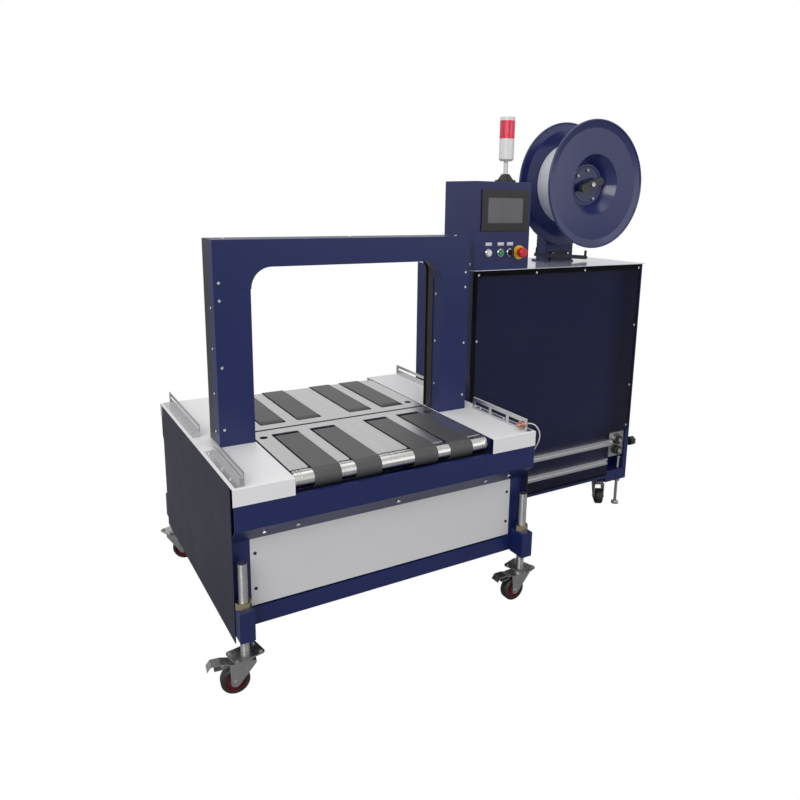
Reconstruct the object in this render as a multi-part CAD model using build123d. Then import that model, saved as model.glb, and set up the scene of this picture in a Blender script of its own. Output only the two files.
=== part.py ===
"""Arch strapping machine: a belt table on castors with a strap arch, and a strap cabinet beside it.

Millimetres, +Z up, +X across the table towards the cabinet, +Y the way the packages travel.
Everything is drawn with the table's left front corner over X = 0, Y = 0 and the floor at Z = 0.
The last step moves the whole machine so that its origin is under the middle of its bounding box.
"""
from build123d import *
from math import cos, pi, radians, sin, tan
import os

# Clearances: at seats, on pins and threads, round moving pieces, and past the faces of a cut
seat_gap = 0.3
running_fit = 0.05
thread_fit = 0.15
moving_gap = 5.0
pin_end_gap = 1.0
past = 1.0

# Table: overall size and sheet metal
table_width = 940.0
table_depth = 830.0
table_height = 560.0
sheet = 2.0
beam_sheet = 3.0
bend_radius = 1.5
wing_width = 160.0
wing_joint = 356.0
skirt_drop = 46.0
plate_sheet = 3.0
plate_side_gap = 6.0
plate_behind_roller = 4.0

# End beams: a face, a bevel and a lower flange
beam_face = 67.0
beam_bevel = 48.0
beam_lip = 14.0

# Base frame of square tube
tube = 50.0
rail_bottom = 155.0
inner_rail_width = 40.0
inner_rail_from_edge = 14.0
cross_tube_depth = 26.0
cross_tube_height = 45.0
cross_from_gap = 6.0
panel_drop = 23.0
panel_inset = 25.0
tab_width = 15.0
upper_rail_height = 45.0
panel_lift = 6.0

# Belts and their rollers
roller_radius = 24.0
roller_set_back = 44.0
inner_roller_radius = 20.0
inner_shaft_radius = 8.0
inner_roller_from_gap = 70.0
belt_width = 75.0
belt_thickness = 2.5
belt_slack = 0.3
belt_pitch = 120.0
outer_belt_left = 222.0
slot_side = 4.0
slot_end = 8.0
slot_corner = 5.0
shaft_radius = 10.0
collar_width = 6.0
collar_gap = 3.0
collar_lip = 1.6
collar_count = 3
bracket_plate = 10.0
bracket_front = 8.0
bracket_back = 30.0
finger_hole_radius = 12.0
finger_hole_from_side = 190.0
finger_hole_from_gap = 64.0

# Arch
strap_gap_centre = 394.0
strap_gap_width = 12.0
arch_front = 305.0
arch_depth = 100.0
arch_height = 576.0
column_width = 104.0
opening_height = 500.0
opening_fillet = 59.0
track_depth = 48.0
track_fillet = 40.0
track_groove_width = 14.0
track_groove_depth = 9.0
cover_notch = 2.0
under_track_height = 22.0
under_track_side = 5.0
under_track_wall = 2.0

# Package guides on the wings
guide_sheet = 2.0
guide_height = 38.0
guide_foot = 24.0
guide_line = 32.0
guide_slot_height = 7.0
guide_slot_margin = 14.0
guide_tab_height = 23.0
front_guide_start = 6.0
front_guide_end = 292.0
rear_guide_start = 424.0
rear_guide_end = 824.0

# Photo sensor on the right front guide
sensor_window_height = 20.0
sensor_window_count = 3
sensor_window_margin = 12.0
sensor_window_lift = 5.0
sensor_radius = 6.0
sensor_length = 30.0
sensor_nose = 19.0
sensor_nut_radius = 12.0
sensor_nut_length = 6.0
sensor_back = 30.0
sensor_lift = 17.0
boot_radius = 4.0
boot_length = 8.0
light_bar = 8.0
light_bar_start = 10.0
light_bar_edge = 2.0
cable_diameter = 4.0
gland_radius = 6.0
gland_length = 8.0
gland_back = 50.0
gland_height = 455.0

# Castors: a threaded stem in a square block, a top plate, a swivel fork and a wheel
castor_block = 40.0
castor_block_height = 82.0
castor_block_bottom = 150.0
castor_block_reach = 12.0
castor_block_edge = 3.0
stem_radius = 12.0
stem_top = 355.0
nut_across_flats = 36.0
nut_height = 18.0
castor_height = 106.0
castor_plate_long = 84.0
castor_plate_short = 60.0
castor_plate_thick = 4.0
castor_plate_corner = 8.0
plate_bolt_inset = 9.0
plate_bolt_radius = 5.0
plate_bolt_height = 4.0
kingpin_radius = 6.0
kingpin_length = 12.0
swivel_radius = 23.0
swivel_height = 11.0
swivel_gap = 0.5
swivel_bevel = 2.0
fixed_neck_radius = 21.0
castor_trail = 28.0
wheel_radius = 37.5
wheel_width = 30.0
wheel_hub_radius = 15.0
wheel_hub_width = 33.0
tread_depth = 11.0
tread_round = 7.0
wheel_web = 10.0
axle_radius = 5.0
fork_sheet = 3.0
fork_inside = 35.0
fork_foot_radius = 12.0
fork_crown_back = 14.0
fork_crown_front = 2.0
fork_crown_drop = 4.0
axle_reach = 4.0
pedal_sheet = 2.5
pedal_width = 32.0
pedal_corner = 10.0
pedal_root = 8.0
pedal_rise = 5.0
pedal_ramp = 22.0
pedal_tread = 46.0
pedal_reach = 56.0
pedal_end_drop = 8.0
ledge_width = 26.0
ledge_drop = 8.0
ledge_ramp = 20.0
ledge_reach = 38.0

# How the castors stood, in degrees: plates from X, trailing wheels from -X, seen from above
castor_plate_turns = (11.0, 107.0, 20.0, -14.0)
cabinet_plate_turn = 90.0
castor_facing = {"front_left": -8.0, "front_right": 0.0, "rear_left": 150.0, "rear_right": 35.0}
cabinet_castor_facing = {"front_left": 70.0, "front_right": 59.0, "rear_left": 90.0,
                         "rear_right": 90.0}

# Cabinet
cabinet_gap = 6.0
cabinet_width = 820.0
cabinet_front = 365.0
cabinet_depth = 370.0
cabinet_bottom = 135.0
cabinet_top_height = 1015.0
cabinet_border = 20.0
pool_depth = 60.0
window_sheet = 5.0
top_sheet = 2.0
top_overhang = 4.0
window_lift = 14.0
window_side = 12.0
notch_width = 116.0
notch_top = 330.0
corner_bottom = 115.0
corner_top = 162.0
skid_width = 60.0
skid_front = 38.0
skid_back = 10.0
foot_radius = 15.0
foot_height = 12.0
foot_edge = 5.0
foot_hole_gap = 2.0
foot_hole_above = 3.0
foot_rod_radius = 6.0
foot_rod_top = 205.0
foot_head_radius = 9.0
foot_head_height = 8.0
foot_inset = 31.0
foot_nut_radius = 13.0
foot_nut_height = 12.0
foot_block = 36.0
foot_back = 23.0
cabinet_castor_inset = 86.0
cabinet_castor_back = 75.0
small_wheel_radius = 32.0
small_trail = 20.0

# Strap channels from the cabinet to the sealing head under the table
channel_height = 26.0
channel_thick = 18.0
channel_groove = 8.0
channel_groove_depth = 5.0
channel_upper = 284.0
channel_inside = 40.0
channel_right_margin = 136.0
channel_window_margin = 12.0
channel_window_reach = 50.0
channel_lug_length = 44.0
channel_lug_height = 22.0
channel_lug_thick = 6.0

# Feed wheels at the cabinet's lower right corner
feed_wheel_radius = 19.0
feed_wheel_width = 14.0
feed_wheel_spacing = 44.0
feed_centre_from_right = 64.0
feed_lower_height = 250.0
feed_pin_radius = 5.0
feed_plate = 6.0
feed_plate_below = 28.0
feed_plate_above = 33.0
feed_plate_corner = 8.0
feed_plate_gap = 6.0
feed_wheel_gap = 1.0
feed_boss_radius = 8.0
feed_boss_inset = 12.0
feed_pin_nose = 3.0
feed_pin_cap = 4.0
feed_pin_cap_lip = 4.0
feed_plate_width = 84.0
feed_groove = 2.0
feed_groove_width = 6.0
guard_thick = 2.0
guard_reach = 4.0
knob_radius = 18.0
knob_length = 24.0
knob_back = 23.0
knob_height = 267.0
knob_shaft_radius = 6.0
knob_shaft_length = 24.0
knob_flutes = 6
knob_flute_radius = 5.0
knob_flute_reach = 2.0
knob_boss_radius = 13.0

# Reel, coil and stand
reel_centre_from_right = 282.0
reel_above_roof = 296.0
reel_radius = 227.0
reel_width = 165.0
reel_sheet = 2.0
reel_bead_radius = 4.0
reel_dish = 7.0
reel_dish_width = 26.0
recess_mouth_radius = 108.0
recess_floor_radius = 74.0
recess_depth = 52.0
recess_bead_radius = 2.5
core_radius = 112.0
core_flare = 6.0
drum_wall = 3.0
reel_shaft_radius = 15.0
hub_sleeve_radius = 24.0
hub_sleeve_reach = 4.0
coil_radius = 150.0
coil_side_gap = 0.8
coil_core_gap = 0.5
stand_width = 140.0
stand_depth = 60.0
stand_top_margin = 87.0
stand_gap = 15.0
stand_foot_sheet = 6.0
stand_foot_margin = 24.0
stand_foot_front = 6.0
stand_edge = 4.0
bearing_radius = 34.0
bearing_gap = 1.0
shaft_in_bearing = 30.0
bar_nut_length = 112.0
bar_nut_height = 28.0
bar_nut_thick = 26.0
bar_nut_boss = 18.0
bar_nut_proud = 6.0
bar_nut_deep = 12.0
bar_nut_cap = 6.0
bar_nut_tilt = 18.0
guide_arm_length = 270.0
guide_arm_height = 15.0
guide_arm_thick = 12.0
guide_arm_tilt = 4.0
guide_arm_lift = 23.0
guide_arm_plate_width = 100.0
guide_arm_plate_height = 34.0
guide_arm_plate = 6.0
guide_pin_radius = 5.0
guide_pin_height = 20.0

# Control box, switches and signal tower
control_width = 231.0
control_depth = 188.0
control_height = 295.0
control_edge = 3.0
screen_width = 197.0
screen_height = 138.0
screen_thick = 6.0
screen_left = 22.0
screen_bottom = 131.0
screen_border_side = 24.0
screen_border_end = 27.0
screen_recess = 1.5
screen_bevel = 1.5
switch_line = 58.0
white_button_from_left = 57.0
green_button_from_left = 108.0
selector_from_left = 148.0
stop_from_left = 188.0
switch_collar_radius = 14.0
collar_height = 5.0
button_radius = 11.0
button_cap_radius = 10.0
button_edge = 1.5
button_proud = 4.0
button_travel = 3.0
button_stem = 6.0
button_clearance = 0.4
switch_hole_spare = 2.0
selector_lever_length = 22.0
selector_lever_width = 8.0
selector_lever_height = 12.0
selector_lever_sunk = 2.0
stop_disc_radius = 24.0
stop_disc_height = 3.0
stop_neck_length = 12.0
stop_stem_short = 2.0
stop_head_edge = 5.0
stop_head_radius = 17.0
stop_head_height = 16.0
stop_travel = 6.0
tower_from_left = 174.0
tower_back = 75.0
tower_base_radius = 36.0
tower_base_height = 28.0
tower_flange_height = 8.0
tower_dome_inset = 8.0
tower_dome_taper = 35.0
tower_pole_radius = 8.0
tower_pole_height = 44.0
tower_body_radius = 26.0
tower_body_height = 74.0
tower_body_bevel = 6.0
lamp_height = 60.0
lamp_ribs = 24
lamp_rib_radius = 1.5
cap_height = 14.0
cap_edge = 5.0

nodes = {}


def keep(name, *solids):
    """Files solids under a node's name; a node may hold several that don't touch."""
    nodes.setdefault(name, []).extend(solids)


def block(x0, x1, y0, y1, z0, z1):
    """A cuboid between two corners."""
    middle = Pos((x0 + x1) / 2, (y0 + y1) / 2, (z0 + z1) / 2)
    return middle * Box(x1 - x0, y1 - y0, z1 - z0)


def rod_x(x0, x1, y, z, radius):
    return Pos((x0 + x1) / 2, y, z) * Rot(0, 90, 0) * Cylinder(radius, x1 - x0)


def rod_y(x, y0, y1, z, radius):
    return Pos(x, (y0 + y1) / 2, z) * Rot(90, 0, 0) * Cylinder(radius, y1 - y0)


def rod_z(x, y, z0, z1, radius):
    return Pos(x, y, (z0 + z1) / 2) * Cylinder(radius, z1 - z0)


def slab_x(points, x0, x1):
    """An outline in the YZ plane, given as (y, z) pairs, extruded from x0 to x1."""
    face = make_face(Polyline([(x0, y, z) for y, z in points], close=True))
    return extrude(face, amount=x1 - x0, dir=(1, 0, 0))


def slab_y(points, y0, y1):
    """An outline in the XZ plane, given as (x, z) pairs, extruded from y0 to y1."""
    face = make_face(Polyline([(x, y0, z) for x, z in points], close=True))
    return extrude(face, amount=y1 - y0, dir=(0, 1, 0))


def slot_y(x, z, length, height, y0, y1):
    """A long slot with round ends, along X, cut through from y0 to y1."""
    half = length / 2 - height / 2
    ends = rod_y(x - half, y0, y1, z, height / 2) + rod_y(x + half, y0, y1, z, height / 2)
    return ends + block(x - half, x + half, y0, y1, z - height / 2, z + height / 2)


def slot_x(y, z, length, height, x0, x1):
    """A long slot with round ends, along Y, cut through from x0 to x1."""
    half = length / 2 - height / 2
    ends = rod_x(x0, x1, y - half, z, height / 2) + rod_x(x0, x1, y + half, z, height / 2)
    return ends + block(x0, x1, y - half, y + half, z - height / 2, z + height / 2)


def plate_y(outline, y0, y1):
    """A flat outline drawn in X and Z, extruded from y0 to y1."""
    plane = Plane(origin=(0, y0, 0), x_dir=(1, 0, 0), z_dir=(0, -1, 0))
    return extrude(plane * outline, amount=y1 - y0, dir=(0, 1, 0))


def mirror_x(solid):
    """The same piece on the table's other side."""
    return mirror(solid, Plane.YZ.offset(table_width / 2))


def mirror_y(solid):
    """The same piece at the table's other end."""
    return mirror(solid, Plane.XZ.offset(-table_depth / 2))


# Levels and lines that several pieces share
frame_inset = sheet + seat_gap
top_under = table_height - sheet
frame_top = table_height - plate_sheet
beam_top = table_height - skirt_drop
beam_bend = beam_top - beam_face
beam_foot = beam_bend - beam_bevel
post_front = beam_bevel
opening_half = table_width / 2 - wing_width
arch_half = opening_half + column_width
arch_back = arch_front + arch_depth
track_front = arch_back - track_depth
gap_front = strap_gap_centre - strap_gap_width / 2
gap_back = strap_gap_centre + strap_gap_width / 2
roller_height = table_height - roller_radius - belt_slack
channel_lower = rail_bottom + tube + seat_gap
plate_front = roller_set_back + roller_radius / 2 + plate_behind_roller
cabinet_left = table_width + cabinet_gap
cabinet_right = cabinet_left + cabinet_width
cabinet_back = cabinet_front + cabinet_depth
body_front = cabinet_front + window_sheet
cabinet_roof = cabinet_top_height + top_sheet
reel_back = cabinet_front + reel_width
recess_floor = cabinet_front + recess_depth
sleeve_end = reel_back - reel_dish + hub_sleeve_reach
stand_front = reel_back + stand_gap
shaft_end = stand_front + shaft_in_bearing
nut_back = recess_floor - seat_gap
nut_front = nut_back - bar_nut_thick
shaft_tip = nut_front + bar_nut_cap + pin_end_gap
belt_lefts = [outer_belt_left, outer_belt_left + belt_pitch]
belt_lefts += [table_width - left - belt_width for left in reversed(belt_lefts)]


def make_base_frame():
    """Welded square-tube frame with four castor blocks and the rails under the table top."""
    left, right = frame_inset, frame_inset + tube
    near, far = post_front, post_front + tube
    rail_top = rail_bottom + tube
    across = table_width / 2
    along = table_depth / 2
    under_top = frame_top - tube
    frame = block(left, right, near, far, rail_bottom, frame_top)
    frame += block(left, across, near, far, rail_bottom, rail_top)
    frame += block(left, across, near, far, beam_foot, beam_foot + upper_rail_height)
    frame += block(left, right, near, along, rail_bottom, rail_top)
    frame += block(left, right, near, along, under_top, frame_top)
    frame += block(right, right + tab_width, near + sheet + seat_gap, far, rail_top, beam_foot)
    inner_right = wing_width - inner_rail_from_edge
    inner_left = inner_right - inner_rail_width
    frame += block(inner_left, inner_right, far, along, under_top, frame_top)
    frame += block(left, inner_right, far, far + tube, under_top, frame_top)
    frame += roller_ear()
    stem_x, stem_y = castor_centres()[0]
    block_top = castor_block_bottom + castor_block_height
    castor = block(left, left + castor_block, -castor_block_reach, near, castor_block_bottom,
                   block_top)
    frame += fillet(castor.edges().filter_by(Axis.Y), castor_block_edge)
    frame -= rod_z(stem_x, stem_y, castor_block_bottom - past, block_top + past,
                   stem_radius + thread_fit)
    frame += mirror_x(frame)
    frame += mirror_y(frame)
    for y in (gap_front - cross_from_gap - cross_tube_depth, gap_back + cross_from_gap):
        frame += block(left, table_width - left, y, y + cross_tube_depth,
                       frame_top - cross_tube_height, frame_top)
    return frame


def castor_centres():
    """Where the four stems stand: front left, front right, rear left, rear right."""
    x = frame_inset + castor_block / 2
    y = (post_front - castor_block_reach) / 2
    return [(x, y), (table_width - x, y), (x, table_depth - y), (table_width - x, table_depth - y)]


def make_end_beam():
    """Folded sheet below the table's front edge: a lip, a face and a bevel back to the posts."""
    t = beam_sheet
    bend_cut = t * tan(radians(22.5))
    outline = [
        (0, beam_top), (beam_lip, beam_top), (beam_lip, beam_top - t), (t, beam_top - t),
        (t, beam_bend + bend_cut), (post_front - seat_gap, beam_foot + t),
        (post_front - seat_gap, beam_foot - bend_cut), (0, beam_bend),
    ]
    return slab_x(outline, frame_inset, table_width - frame_inset)


def make_side_panel():
    """Dark side sheet with folded front and back edges."""
    low = rail_bottom - panel_drop
    high = top_under - seat_gap
    return block(0, sheet, panel_inset, table_depth - panel_inset, low, high)


def make_wings():
    """Four white top sheets beside the belts, the end ones folded down into a skirt."""
    near = block(0, wing_width, 0, wing_joint - seat_gap, top_under, table_height)
    near += block(0, wing_width, 0, sheet, beam_top, top_under)
    near_bend = near.edges().filter_by(Axis.X).group_by(Axis.Z)[-1].sort_by(Axis.Y)[0]
    near = fillet(near_bend, bend_radius)
    far = block(0, wing_width, wing_joint, table_depth, top_under, table_height)
    far += block(0, wing_width, table_depth - sheet, table_depth, beam_top, top_under)
    far_bend = far.edges().filter_by(Axis.X).group_by(Axis.Z)[-1].sort_by(Axis.Y)[-1]
    far = fillet(far_bend, bend_radius)
    keep("table_wings", near, mirror_x(near), far, mirror_x(far))


def belt_slot(left, y0, y1):
    """Cutter for one belt's slot in a plate, with rounded corners."""
    cutter = block(left - slot_side, left + belt_width + slot_side, y0, y1,
                   frame_top - past, table_height + past)
    return fillet(cutter.edges().filter_by(Axis.Z), slot_corner)


def finger_hole(x, y):
    return rod_z(x, y, frame_top - past, table_height + past, finger_hole_radius)


def make_slotted_plates():
    """Stainless plates on both sides of the strap gap, with a slot for each belt."""
    left = wing_width + plate_side_gap
    right = table_width - left
    plate_back = table_depth - plate_front
    inner_front, inner_rear = inner_roller_lines()
    slot_past_line = inner_roller_radius + belt_thickness + slot_end
    run_out = slot_corner + past
    front = block(left, right, plate_front, gap_front, frame_top, table_height)
    rear = block(left, right, gap_back, plate_back, frame_top, table_height)
    for belt_left in belt_lefts:
        front -= belt_slot(belt_left, plate_front - run_out, inner_front + slot_past_line)
        rear -= belt_slot(belt_left, inner_rear - slot_past_line, plate_back + run_out)
    for hole_x in (finger_hole_from_side, table_width - finger_hole_from_side):
        front -= finger_hole(hole_x, strap_gap_centre - finger_hole_from_gap)
        rear -= finger_hole(hole_x, strap_gap_centre + finger_hole_from_gap)
    keep("slotted_plates", front, rear)


def belt_loop(left, near_y, near_radius, far_y, far_radius):
    """One endless flat belt round an end roller and an inner roller whose tops are level."""
    top = table_height - belt_slack
    plane = Plane(origin=(left, 0, 0), x_dir=(0, 1, 0), z_dir=(1, 0, 0))
    sides = []
    for extra in (belt_slack, belt_slack + belt_thickness):
        near_round = Pos(near_y, top - near_radius) * Circle(near_radius + extra)
        far_round = Pos(far_y, top - far_radius) * Circle(far_radius + extra)
        outline = make_hull(near_round.edges() + far_round.edges())
        sides.append(extrude(plane * outline, amount=belt_width, dir=(1, 0, 0)))
    return sides[1] - sides[0]


def inner_roller_lines():
    """Y of the inner rollers in front of and behind the strap gap."""
    return gap_front - inner_roller_from_gap, gap_back + inner_roller_from_gap


def make_belts():
    inner_front, inner_rear = inner_roller_lines()
    for left in belt_lefts:
        keep("feed_belts", belt_loop(left, roller_set_back, roller_radius, inner_front,
                                     inner_roller_radius))
        keep("feed_belts", belt_loop(left, table_depth - roller_set_back, roller_radius,
                                     inner_rear, inner_roller_radius))


def make_end_roller(y):
    """Turned steel drum with three collars at each end, on a shaft that runs in two brackets."""
    left = wing_width + plate_side_gap
    right = table_width - left
    roller = rod_x(left, right, y, roller_height, roller_radius)
    for count in range(collar_count):
        start = left + collar_gap + count * (collar_width + collar_gap)
        ring = rod_x(start - collar_gap, start, y, roller_height, roller_radius + past)
        ring -= rod_x(start - collar_gap, start, y, roller_height, roller_radius - collar_lip)
        roller -= ring
        roller -= mirror_x(ring)
    reach = wing_width - inner_rail_from_edge
    return roller + rod_x(reach, table_width - reach, y, roller_height, shaft_radius)


def roller_ear():
    """Plate on the front left inner rail, with the running bore for the roller's shaft."""
    left = wing_width - inner_rail_from_edge
    ear = block(left, left + bracket_plate, roller_set_back - shaft_radius - bracket_front,
                post_front + tube + bracket_back, frame_top - tube, top_under - seat_gap)
    return ear - rod_x(left - past, left + bracket_plate + past, roller_set_back, roller_height,
                       shaft_radius + running_fit)


def make_rollers():
    keep("front_roller", make_end_roller(roller_set_back))
    keep("rear_roller", make_end_roller(table_depth - roller_set_back))
    shaft_left = wing_width - inner_rail_from_edge
    shaft_height = table_height - belt_slack - inner_roller_radius
    for y in inner_roller_lines():
        rollers = rod_x(shaft_left, table_width - shaft_left, y, shaft_height, inner_shaft_radius)
        for left in belt_lefts:
            rollers += rod_x(left, left + belt_width, y, shaft_height, inner_roller_radius)
        keep("inner_rollers", rollers)


def arch_outline(inner_half, fillet_radius, low, high, top, y0, y1):
    """Upside-down U between the columns' outer sides, with rounded inner corners."""
    centre = table_width / 2
    outer = block(centre - arch_half, centre + arch_half, y0, y1, low, top)
    inner = block(centre - inner_half, centre + inner_half, y0 - past, y1 + past, low - past, high)
    tall = inner.edges().filter_by(Axis.Y).group_by(Axis.Z)[-1]
    return outer - fillet(tall, fillet_radius)


def make_arch():
    """Strap arch: a sheet housing in front, two column covers and the black track behind."""
    centre = table_width / 2
    left = centre - arch_half
    right = centre + arch_half
    top = table_height + arch_height
    high = table_height + opening_height
    seam = high - opening_fillet
    body = arch_outline(opening_half, opening_fillet, table_height, high, top,
                        arch_front, track_front)
    above_seam = block(left - past, right + past, arch_front - past, track_front + past,
                       seam, top + past)
    hollow = arch_outline(opening_half + sheet, opening_fillet + sheet, table_height,
                          high + sheet, top, arch_front + sheet, track_front + past)
    hollow &= block(left + sheet, right - sheet, arch_front, track_front + past,
                    seam - past, top - sheet)
    keep("arch_housing", ((body & above_seam) - hollow).solid())
    inner = centre - opening_half - cover_notch
    cover = block(left, inner, arch_front, track_front, table_height, seam - seat_gap)
    cover -= block(left + sheet, inner - sheet, arch_front + sheet, track_front + past,
                   table_height - past, seam)
    keep("arch_covers", cover, mirror_x(cover))
    groove_front = strap_gap_centre - track_groove_width / 2
    groove_back = strap_gap_centre + track_groove_width / 2
    track = arch_outline(opening_half, track_fillet, table_height, high, top, track_front, arch_back)
    outside_groove = arch_outline(opening_half + track_groove_depth,
                                  track_fillet + track_groove_depth, table_height - past,
                                  high + track_groove_depth, top + past, groove_front, groove_back)
    band = block(left, right, groove_front, groove_back, table_height - past, top)
    keep("strap_track", (track - (band - outside_groove)).solid())
    under_left = wing_width + plate_side_gap
    under_right = table_width - under_left
    under = block(under_left, under_right, gap_front - under_track_side,
                  gap_back + under_track_side, frame_top - under_track_height, frame_top)
    under -= block(under_left - past, under_right + past, gap_front + under_track_wall,
                   gap_back - under_track_wall, frame_top - track_groove_depth, frame_top + past)
    keep("strap_track", under)


def make_guide(y0, y1):
    """Stainless angle on a wing: a screwed foot outboard and an upright with one long slot."""
    x = guide_line
    z = table_height
    guide = block(x - guide_foot, x, y0, y1, z, z + guide_sheet)
    guide += block(x - guide_sheet, x, y0, y1, z, z + guide_height)
    guide += block(x - guide_foot / 2, x, y0, y0 + guide_sheet, z, z + guide_tab_height)
    slot_z = z + guide_height - guide_slot_margin
    guide -= slot_x((y0 + y1) / 2, slot_z, y1 - y0 - 2 * guide_slot_margin, guide_slot_height,
                    x - guide_sheet - past, x + past)
    return guide


def make_guides():
    left_rear = make_guide(rear_guide_start, rear_guide_end)
    keep("side_guides", make_guide(front_guide_start, front_guide_end), left_rear,
         mirror_x(left_rear))


def sensor_guide_line():
    return table_width - guide_line


def make_sensor_guide():
    """Right front guide: a windowed upright that carries the light bar and the photo sensor."""
    x = sensor_guide_line()
    z = table_height
    y0, y1 = front_guide_start, front_guide_end
    guide = block(x, x + guide_foot, y0, y1, z, z + guide_sheet)
    guide += block(x, x + guide_sheet, y0, y1, z, z + guide_height)
    window_low = z + guide_sheet + sensor_window_lift
    bay = (y1 - y0 - sensor_window_margin) / sensor_window_count
    for count in range(sensor_window_count):
        start = y0 + sensor_window_margin + count * bay
        guide -= block(x - past, x + guide_sheet + past, start, start + bay - sensor_window_margin,
                       window_low, window_low + sensor_window_height)
    keep("sensor_guide", guide)
    bar_z = z + guide_height - light_bar / 2
    bar = block(x + guide_sheet, x + guide_sheet + light_bar, y0 + light_bar_start, y1,
                bar_z - light_bar / 2, bar_z + light_bar / 2)
    bar = fillet(bar.edges().filter_by(Axis.Y), light_bar_edge)
    keep("light_bar", bar)
    nose = x - sensor_nose
    y, z = sensor_back, table_height + sensor_lift
    sensor = rod_x(nose, nose + sensor_length, y, z, sensor_radius)
    sensor += rod_x(nose, nose + sensor_length + boot_length, y, z, boot_radius)
    for left in (x - seat_gap - sensor_nut_length, x + guide_sheet + seat_gap):
        sensor += rod_x(left, left + sensor_nut_length, y, z, sensor_nut_radius)
    keep("photo_sensor", sensor)


def make_sensor_cable():
    """Thin white cable: out of the sensor, over the table's corner and into a gland below."""
    gland_end = table_width + gland_length
    keep("cable_gland", rod_x(table_width, gland_end, gland_back, gland_height, gland_radius))
    start = sensor_guide_line() - sensor_nose + sensor_length + boot_length
    y, z = sensor_back, table_height + sensor_lift
    points = [
        (start, y, z), (start + 14, y, z), (start + 29, y - 6, z - 6), (start + 39, y - 13, z - 21),
        (start + 43, y - 16, z - 41), (start + 40, y - 13, z - 63), (start + 34, y - 3, z - 87),
        (gland_end + 12, gland_back - 10, gland_height + 13),
        (gland_end + 11, gland_back, gland_height), (gland_end, gland_back, gland_height),
    ]
    cord_tube("sensor_cable", points, cable_diameter)


def cord_tube(name, points, diameter):
    """A free cable as a plain tube along straight runs and the widest arcs that they allow."""
    vectors = [Vector(*point) for point in points]
    radii = []
    for before, here, after in zip(vectors, vectors[1:], vectors[2:]):
        arriving, leaving = here - before, after - here
        turn = radians(arriving.get_angle(leaving))
        radii.append(0.45 * min(arriving.length, leaving.length) / tan(turn / 2))
    print(name, "arc radii", [round(radius, 1) for radius in radii])
    path = FilletPolyline(*vectors, radius=radii)
    start = Plane(origin=vectors[0], z_dir=vectors[1] - vectors[0])
    tube_solid = sweep(start * Circle(diameter / 2), path=path, transition=Transition.RIGHT)
    print(name, "length", round(path.length, 1), "volume ratio",
          round(tube_solid.volume / (path.length * pi * diameter ** 2 / 4), 4))
    keep(name, tube_solid)


def hexagon_nut(x, y, z0, z1, hole):
    prism = extrude(Pos(x, y, z0) * RegularPolygon(nut_across_flats / 2, 6, major_radius=False),
                    amount=z1 - z0)
    return prism - rod_z(x, y, z0 - past, z1 + past, hole)


def castor_plate(x, y, turn, bolts):
    """Top plate of a castor, turned about the vertical, with or without its four bolt heads."""
    spot = Pos(x, y, castor_height - castor_plate_thick) * Rot(0, 0, turn)
    outline = RectangleRounded(castor_plate_long, castor_plate_short, castor_plate_corner)
    plate = spot * extrude(outline, amount=castor_plate_thick)
    if not bolts:
        return plate
    half_long = castor_plate_long / 2 - plate_bolt_inset
    half_short = castor_plate_short / 2 - plate_bolt_inset
    for side, end in ((1, 1), (1, -1), (-1, 1), (-1, -1)):
        head = extrude(RegularPolygon(plate_bolt_radius, 6), amount=plate_bolt_height)
        plate += spot * Pos(side * half_long, end * half_short, castor_plate_thick) * head
    return plate


def kingpin_bore(x, y):
    """The hole in a castor plate, and up into what is above it, that the swivel pin turns in."""
    return rod_z(x, y, castor_height - castor_plate_thick - past,
                 castor_height - castor_plate_thick + kingpin_length, kingpin_radius + running_fit)


def make_castor_mounts():
    """Table castor plates welded to threaded stems with their nuts, and the cabinet's plates."""
    block_top = castor_block_bottom + castor_block_height
    for (x, y), turn in zip(castor_centres(), castor_plate_turns):
        plate = castor_plate(x, y, turn, True)
        plate += rod_z(x, y, castor_height - past, stem_top, stem_radius)
        keep("castor_mounts", plate - kingpin_bore(x, y))
        keep("stem_nuts", hexagon_nut(x, y, block_top, block_top + nut_height,
                                      stem_radius + thread_fit))
    for (x, y), swivels in zip(cabinet_castor_centres(), (True, True, False, False)):
        plate = castor_plate(x, y, cabinet_plate_turn, False)
        if swivels:
            keep("castor_mounts", plate - kingpin_bore(x, y))
            nodes["cabinet_body"][0] -= kingpin_bore(x, y)
        else:
            keep("castor_mounts", plate + Pos(x, y, 0) * Rot(0, 0, cabinet_plate_turn) * fixed_fork())


def wheel_solid(radius):
    """Castor wheel about the Y axis: a rounded tread, a thin web and a bored hub."""
    half = wheel_width / 2
    hub_half = wheel_hub_width / 2
    rim_inside = radius - tread_depth
    web = wheel_web / 2
    bore = axle_radius + running_fit
    section = make_face(Polyline([
        (bore, -hub_half), (wheel_hub_radius, -hub_half), (wheel_hub_radius, -web),
        (rim_inside, -web), (rim_inside, -half), (radius, -half), (radius, half),
        (rim_inside, half), (rim_inside, web), (wheel_hub_radius, web),
        (wheel_hub_radius, hub_half), (bore, hub_half),
    ], close=True))
    section = fillet(section.vertices().group_by(Axis.X)[-1], tread_round)
    return revolve(section, axis=Axis.Y)


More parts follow.
